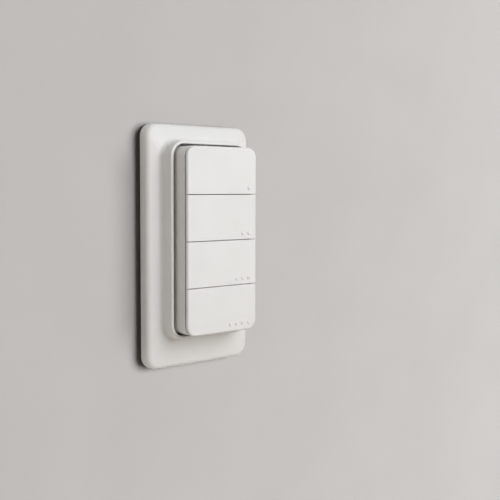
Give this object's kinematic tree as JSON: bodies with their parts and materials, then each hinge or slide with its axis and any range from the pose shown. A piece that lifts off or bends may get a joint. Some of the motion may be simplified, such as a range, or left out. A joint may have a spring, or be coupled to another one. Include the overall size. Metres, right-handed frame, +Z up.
{
  "type": "wireless remote wall switch",
  "caption": "Rounded wall plate with a raised collar that holds a slim cordless remote by magnets; the remote's stacked rectangular keys carry small dots.",
  "frame": {"origin": "on the wall plane, at the middle of the adhesive pad behind the middle of the holder's plate", "axes": "+Z up along the plate's height, +Y into the wall, +X to the right as seen by someone facing the wall"},
  "size_m": [0.0448, 0.0193, 0.086],
  "materials": {
    "holder_plastic": "satin moulded plastic, warm white",
    "case_plastic": "satin moulded plastic, warm white",
    "key_plastic": "satin moulded plastic, warm white",
    "door_plastic": "fine matte texture, warm white",
    "foam_pad": "matte closed-cell acrylic foam",
    "keeper_steel": "zinc-plated sheet steel",
    "magnet_nickel": "nickel-plated",
    "cell_steel": "polished stainless steel",
    "contact_spring": "tinned spring strip",
    "board_laminate": "green solder mask",
    "shield_can": "tinned sheet",
    "frame_plastic": "grey moulded plastic",
    "screw_steel": "zinc-plated steel",
    "switch_black": "black moulded plastic",
    "plunger_grey": "grey moulded plastic"
  },
  "bodies": {
    "wall_holder": {"wall_plate": "holder_plastic", "adhesive_pad": "foam_pad", "keeper_upper": "keeper_steel", "keeper_lower": "keeper_steel"},
    "remote": {"remote_case": "case_plastic", "magnet_upper": "magnet_nickel", "magnet_lower": "magnet_nickel", "coin_cell": "cell_steel", "battery_contact_negative": "contact_spring", "battery_contact_positive": "contact_spring", "circuit_board": "board_laminate", "radio_module": "shield_can", "key_frame": "frame_plastic", "case_screws": "screw_steel", "switch_body_1": "switch_black", "switch_body_2": "switch_black", "switch_body_3": "switch_black", "switch_body_4": "switch_black"},
    "battery_door": {"battery_door": "door_plastic"},
    "key_1": {"key_1": "key_plastic", "switch_plunger_1": "plunger_grey"},
    "key_2": {"key_2": "key_plastic", "switch_plunger_2": "plunger_grey"},
    "key_3": {"key_3": "key_plastic", "switch_plunger_3": "plunger_grey"},
    "key_4": {"key_4": "key_plastic", "switch_plunger_4": "plunger_grey"}
  },
  "joints": [
    {"name": "remote_lift", "type": "slide", "parent": "wall_holder", "child": "remote", "axis": [0, -1, 0], "range_m": [0, 0.03]},
    {"name": "battery_door_turn", "type": "hinge", "parent": "remote", "child": "battery_door", "pos_m": [0, -0.0058, 0.0026], "axis": [0, 1, 0], "range_deg": [0, 30]},
    {"name": "key_1_press", "type": "slide", "parent": "remote", "child": "key_1", "axis": [0, 1, 0], "range_m": [0, 0.0005], "stiffness_N_per_m": 800, "springref_m": -0.0012},
    {"name": "key_2_press", "type": "slide", "parent": "remote", "child": "key_2", "axis": [0, 1, 0], "range_m": [0, 0.0005], "stiffness_N_per_m": 800, "springref_m": -0.0012},
    {"name": "key_3_press", "type": "slide", "parent": "remote", "child": "key_3", "axis": [0, 1, 0], "range_m": [0, 0.0005], "stiffness_N_per_m": 800, "springref_m": -0.0012},
    {"name": "key_4_press", "type": "slide", "parent": "remote", "child": "key_4", "axis": [0, 1, 0], "range_m": [0, 0.0005], "stiffness_N_per_m": 800, "springref_m": -0.0012}
  ]
}
